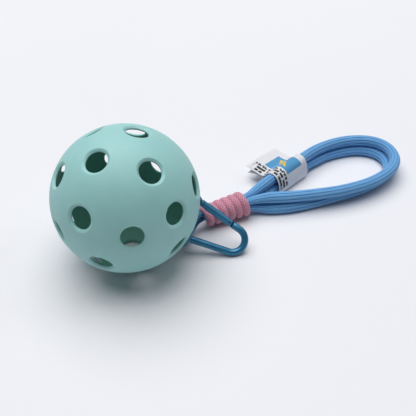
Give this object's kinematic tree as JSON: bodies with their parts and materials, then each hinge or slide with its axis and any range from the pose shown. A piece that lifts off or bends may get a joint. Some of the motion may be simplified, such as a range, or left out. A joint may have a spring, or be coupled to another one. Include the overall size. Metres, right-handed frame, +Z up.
{
  "type": "pickleball ball",
  "caption": "Perforated hollow plastic court ball in two moulded halves, threaded on a sprung-gate carabiner with a bound cord wrist loop and a folded fabric label.",
  "frame": {"origin": "on the floor plane, under the middle of the ball and carabiner taken together", "axes": "+X from the ball towards the carabiner's tip and the wrist loop, +Y towards the side on which the loop lies, +Z up"},
  "size_m": [0.1937, 0.1264, 0.0733],
  "materials": {
    "ball_plastic": "matte moulded mint polyethylene",
    "anodised_aluminium": "blue anodised, satin",
    "steel_pins": "bright stainless",
    "blue_cord": "braided polyester",
    "pink_cord": "braided cotton",
    "label_tape": "woven satin tape"
  },
  "bodies": {
    "ball": {"ball_half_near": "ball_plastic", "ball_half_far": "ball_plastic"},
    "carabiner": {"carabiner_body": "anodised_aluminium"},
    "gate": {"gate_tube": "anodised_aluminium", "gate_rivet": "steel_pins", "latch_pin": "steel_pins", "gate_spring": "steel_pins"},
    "plunger": {"gate_plunger": "steel_pins"},
    "lanyard": {"eye_cord": "blue_cord", "cord_bundle": "blue_cord", "wrap_coil": "pink_cord", "wrist_cord_lower": "blue_cord", "wrist_cord_upper": "blue_cord", "label_tape": "label_tape"}
  },
  "joints": [
    {"name": "carabiner_swing", "type": "hinge", "parent": "ball", "child": "carabiner", "pos_m": [0.01504, 0.00772, 0.01943], "axis": [0.2689, 0.6363, 0.723], "range_deg": [-2, 45]},
    {"name": "gate_hinge", "type": "hinge", "parent": "carabiner", "child": "gate", "pos_m": [0.02545, 0.01161, 0.02269], "axis": [-0.0843, 0.7637, -0.6401], "range_deg": [0, 25], "stiffness_Nm_per_rad": 0.03, "springref_deg": -20.05},
    {"name": "plunger_slide", "type": "slide", "parent": "gate", "child": "plunger", "axis": [0.8133, -0.3184, -0.4871], "range_m": [0, 0.0006]},
    {"name": "lanyard_swing", "type": "hinge", "parent": "carabiner", "child": "lanyard", "pos_m": [0.01158, 0.00032, 0.01105], "axis": [0.9438, -0.1447, -0.297], "range_deg": [-30, 25]}
  ],
  "couplings": [
    {"joint": "plunger_slide", "follows": "gate_hinge", "m_per_rad": 0.0012}
  ]
}
